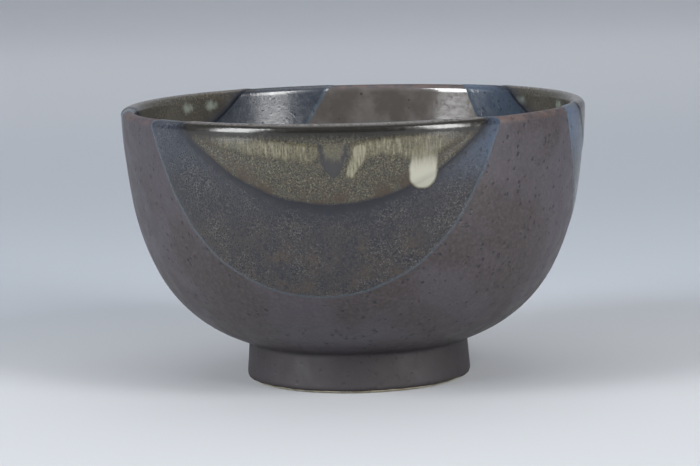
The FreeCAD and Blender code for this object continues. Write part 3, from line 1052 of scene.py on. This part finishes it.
def ochre_colour(finish, edge):
    """Olive ochre, finely speckled, amber at its edge and sooty where it ran thin."""
    grain = finish.between(finish.noise(0.34, 3.0, 0.65), 0.36, 0.64)
    colour = finish.over(grain, OLIVE_DARK, OLIVE)
    light = finish.between(finish.noise(0.45, 2.0), 0.54, 0.68, 0.0, 0.7)
    colour = finish.over(light, colour, TAN)
    pits = finish.between(finish.noise(0.5, 3.0), 0.58, 0.68, 0.0, 0.6)
    colour = finish.over(pits, colour, NAVY)
    down = down_the_outside(finish)
    amber = finish.between(edge, 6.5, 0.8, 0.0, 0.85)
    patch = finish.between(finish.noise(4.0, 2.0), 0.4, 0.62, 0.1, 1.0)
    colour = finish.over(finish.times(amber, patch), colour, AMBER)
    inner = finish.between(down, -0.5, -4.0, 0.0, 0.5)
    colour = finish.over(inner, colour, INNER_OLIVE)
    streaks = finish.noise(0.6, 3.0, 0.65, streak_place(finish))
    reach = finish.plus(down, finish.times(streaks, 3.4))
    soot = finish.between(reach, 7.2, 4.6, 0.0, 0.92)
    outside = finish.between(down, 0.1, 0.6)
    colour = finish.over(finish.times(soot, outside), colour, SOOT)
    crest = finish.between(finish.maths("ABSOLUTE", down), 1.5, 0.6)
    broken = finish.between(finish.noise(0.9, 3.0, 0.6), 0.35, 0.6, 0.3, 0.9)
    return finish.over(finish.times(crest, broken), colour, LIP_ASH)


def ochre_glaze():
    finish = Finish("olive_ochre_dip_glaze", 0.5, 0.22)
    edge = finish.field("edge")
    colour = ochre_colour(finish, edge)
    dab = finish.field("dab")
    blotches = finish.times(finish.less(finish.noise(1.8, 4.0, 0.65), 0.5), 1.4)
    broken = finish.between(finish.plus(dab, blotches), 0.25, 1.1, 0.0, 0.75)
    here = finish.between(dab, 0.02, 0.3)
    colour = finish.over(finish.times(broken, here), colour, CELADON)
    inner = finish.between(finish.field("from_lip"), 0.4, 2.0)
    merging = finish.between(finish.plus(edge, finish.noise(3.0, 3.0)), 4.5, 0.8, 0.0, 0.7)
    colour = finish.over(finish.times(inner, merging), colour, INNER_SLATE)
    dark = finish.between(edge, 1.3, 0.2, 0.0, 0.9)
    finish.colour(finish.over(dark, colour, NAVY))
    finish.roughness(finish.between(finish.noise(1.4, 2.0), 0.3, 0.7, 0.15, 0.24))
    orange_peel(finish, 0.014)
    return finish.material


def cream_glaze():
    """Milky glaze, streaked where it is thin and opaque where it gathered in a drip."""
    finish = Finish("milky_cream_glaze", 0.5, 0.18)
    colour = ochre_colour(finish, finish.field("under_edge"))
    down = down_the_outside(finish)
    tongue = finish.field("tongue")
    broken = finish.plus(down, finish.times(finish.noise(1.2, 3.0), 3.0))
    fallen = finish.between(broken, 4.6, 9.0)
    inside = finish.times(finish.between(tongue, 0.0, 1.2, 0.0, 0.6), fallen)
    colour = finish.over(inside, colour, OLD_CREAM)
    streaks = finish.less(finish.noise(0.55, 3.0, 0.65, streak_place(finish)), 0.5)
    mottle = finish.between(finish.noise(0.6, 3.0, 0.6), 0.38, 0.66)
    cream = finish.over(mottle, CREAM, CREAM_SHADE)
    thickest = finish.plus(finish.field("milky"), finish.times(streaks, 2.5))
    heavy = finish.between(thickest, 0.75, 1.7, 0.0, 0.75)
    cream = finish.over(heavy, cream, PALE_CREAM)
    worn = finish.plus(finish.field("milky"), finish.times(streaks, 2.0))
    colour = finish.over(finish.between(worn, 0.2, 1.25, 0.0, 0.95), colour, cream)
    waver = finish.times(finish.less(finish.noise(1.4, 3.0), 0.5), 1.4)
    off_line = finish.maths("ABSOLUTE", finish.plus(tongue, waver))
    rim = finish.between(off_line, 0.85, 0.15)
    depth = finish.plus(down, finish.times(streaks, 5.0))
    tip = finish.times(finish.between(tongue, 0.0, 0.5), finish.between(depth, 8.0, 10.4))
    dark = finish.times(finish.maths("MAXIMUM", rim, tip), fallen)
    colour = finish.over(finish.times(dark, 0.85), colour, TONGUE_GREY)
    drip = finish.field("drip")
    ragged = finish.plus(down, finish.times(streaks, 4.0))
    thick = finish.times(finish.between(drip, 0.0, 0.9), finish.between(ragged, 4.6, 10.5))
    milk = finish.over(finish.between(ragged, 7.0, 13.0), CREAM, MILK)
    colour = finish.over(finish.times(thick, 0.97), colour, milk)
    finish.colour(colour)
    orange_peel(finish, 0.02)
    return finish.material


def bare_clay():
    """Unglazed fired stoneware, gritty and a little stained."""
    finish = Finish("bare_stoneware_clay", 0.3, 0.85)
    colour = finish.over(finish.between(finish.noise(2.5, 4.0), 0.35, 0.65), CLAY, CLAY_DARK)
    grit = specks(finish, 0.9, 0.3, 0.4)
    colour = finish.over(finish.times(grit, 0.6), colour, GRIT)
    finish.colour(colour)
    finish.relief(finish.noise(0.4, 3.0), 0.08)
    return finish.material


# ---------------------------------------------------------------- the room

# The camera stands before the bowl, tilted down. Its turns are in degrees.
CAMERA_DISTANCE = 746.0 * MM
CAMERA_HEIGHT = 137.7 * MM
CAMERA_PITCH = 7.66
CAMERA_YAW = -0.116
CAMERA_ROLL = -1.435
CAMERA_LENS = 147.6


def make_camera():
    pitch, yaw, roll = map(math.radians, (CAMERA_PITCH, CAMERA_YAW, CAMERA_ROLL))
    ahead = Vector((math.sin(yaw) * math.cos(pitch), math.cos(yaw) * math.cos(pitch),
                    -math.sin(pitch)))
    across = Vector((math.cos(yaw), -math.sin(yaw), 0.0))
    up = across.cross(ahead)
    level_across = math.cos(roll) * across + math.sin(roll) * up
    level_up = math.cos(roll) * up - math.sin(roll) * across
    data = bpy.data.cameras.new("camera")
    data.sensor_width = 36.0
    data.lens = CAMERA_LENS
    data.clip_start = 0.01
    data.clip_end = 50.0
    camera = bpy.data.objects.new("camera", data)
    bpy.context.collection.objects.link(camera)
    turn = Matrix((level_across, level_up, -ahead)).transposed()
    camera.matrix_world = Matrix.Translation((0.0, -CAMERA_DISTANCE, CAMERA_HEIGHT)) @ turn.to_4x4()
    bpy.context.scene.camera = camera


def make_floor():
    """A broad round sweep: a flat floor that rises into a wall on every side."""
    flat, turn, top = 2.2, 0.8, 2.4
    line = [(radius, 0.0) for radius in (0.0, 0.2, 0.5, 1.0, 1.6, flat)]
    for step in range(1, 13):
        angle = math.radians(90.0 * step / 12)
        line.append((flat + turn * math.sin(angle), turn - turn * math.cos(angle)))
    line.append((flat + turn, top))
    floor = turned_piece("studio_floor", line[::-1], 96, paper(), closed=False)


def paper():
    """Pale seamless paper, greyer and bluer further back, and painted paler far back to make up for
    the lamps' falloff.
    """
    finish = Finish("pale_studio_paper", 0.2, 0.8)
    back = finish.along("Y")
    uneven = finish.times(finish.noise(320.0, 3.0), 120.0)
    behind = finish.between(finish.plus(back, uneven), 70.0, 240.0)
    colour = finish.over(behind, PAPER, PAPER_BEHIND)
    # Painted light: the paper grows paler far back, to even out the light that falls off with
    # distance.
    far = finish.between(back, 300.0, 1300.0)
    finish.colour(finish.over(far, colour, PAPER_FAR_PAINTED_LIGHT))
    return finish.material


def make_panel(name, azimuth, elevation, distance, width, height, power, tint):
    """A softbox facing the bowl."""
    data = bpy.data.lights.new(name, "AREA")
    data.shape = "RECTANGLE"
    data.size = width
    data.size_y = height
    data.energy = power
    data.color = tint
    lamp = bpy.data.objects.new(name, data)
    bpy.context.collection.objects.link(lamp)
    turn, rise = math.radians(azimuth), math.radians(elevation)
    aim = Vector((0.0, 0.0, BOWL_HEIGHT / 2.0))
    where = aim + distance * Vector((math.cos(rise) * math.cos(turn),
                                     math.cos(rise) * math.sin(turn), math.sin(rise)))
    turned = (aim - where).to_track_quat("-Z", "Y").to_matrix().to_4x4()
    lamp.matrix_world = Matrix.Translation(where) @ turned


# By name: azimuth and elevation in degrees, distance, width, height, watts and tint
SOFTBOXES = {
    "right_softbox": (-44.0, 22.0, 1.1, 0.34, 0.84, 17.0, (1.0, 0.99, 0.98)),
    "left_softbox": (-149.0, 22.0, 1.1, 0.40, 0.84, 17.0, (0.98, 0.99, 1.0)),
    "overhead_softbox": (90.0, 80.0, 1.3, 1.2, 1.2, 4.0, (1.0, 1.0, 1.0)),
}


def make_light():
    for name, values in SOFTBOXES.items():
        make_panel(name, *values)
    bpy.context.scene.world = soft_room()
    bpy.context.scene.view_settings.view_transform = "Standard"


def soft_room():
    """Even light from all round, stronger from the sides of the room than from above."""
    world = bpy.data.worlds.new("soft_room")
    world.use_nodes = True
    nodes, links = world.node_tree.nodes, world.node_tree.links
    where = nodes.new("ShaderNodeTexCoord")
    parts = nodes.new("ShaderNodeSeparateXYZ")
    links.new(where.outputs["Generated"], parts.inputs[0])
    rise = nodes.new("ShaderNodeMapRange")
    rise.interpolation_type = "SMOOTHSTEP"
    rise.inputs["From Min"].default_value = 0.15
    rise.inputs["From Max"].default_value = 0.75
    rise.inputs["To Min"].default_value = 0.74
    rise.inputs["To Max"].default_value = 0.40
    links.new(parts.outputs["Z"], rise.inputs["Value"])
    room = nodes["Background"]
    room.inputs["Color"].default_value = (0.88, 0.91, 0.96, 1.0)
    links.new(rise.outputs["Result"], room.inputs["Strength"])
    return world


# ---------------------------------------------------------------- putting it together

def place_piece(piece, slot, *nodes):
    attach(piece, "root")
    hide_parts(*nodes)


def make_dip(side, blue, ochre, cream, iron):
    """One side of the rim: its blue dip, ochre dip and cream runs, and the blue's specks."""
    blue_coat = make_blue_dip(side, blue)
    blue_specks = specks_on("blue_dip_iron_specks_" + side, blue_coat, iron, 2.1 * MM,
                            (0.12 * MM, 0.30 * MM), (0.0, BOWL_HEIGHT - 1.5 * MM), 7)
    place_piece(blue_coat, "blue_glaze", "blue_dip_" + side)
    place_piece(blue_specks, "blue_glaze", "blue_dip_" + side)
    place_piece(make_ochre_dip(side, ochre), "ochre_glaze", "ochre_dip_" + side)
    place_piece(make_cream_runs(side, cream), "cream_glaze", "cream_runs_" + side)


def make_bowl():
    satin, liner, clay, iron = satin_glaze(), liner_glaze(), bare_clay(), iron_specks()
    blue, ochre, cream = blue_glaze(), ochre_glaze(), cream_glaze()
    outside = make_outside_glaze(satin)
    outside_specks = specks_on("outside_glaze_iron_specks", outside, iron, 2.3 * MM,
                               (0.09 * MM, 0.24 * MM), (1.6 * MM, BOWL_HEIGHT - 2.5 * MM), 3)
    place_piece(outside, "outside_glaze", "outside_glaze")
    place_piece(outside_specks, "outside_glaze", "outside_glaze")
    place_piece(make_inside_glaze(liner), "inside_glaze", "inside_glaze")
    place_piece(make_recess_glaze(satin), "outside_glaze", "foot_recess_glaze")
    place_piece(make_foot_clay(clay), "clay", "foot_ring")
    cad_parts["stoneware_bowl"].data.materials.clear()
    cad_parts["stoneware_bowl"].data.materials.append(clay)
    for side in BLUE_DIPS:
        make_dip(side, blue, ochre, cream, iron)


WHEEL = wheel()
SPECK_SCATTER = speck_scatter()
make_camera()
make_floor()
make_light()
make_bowl()
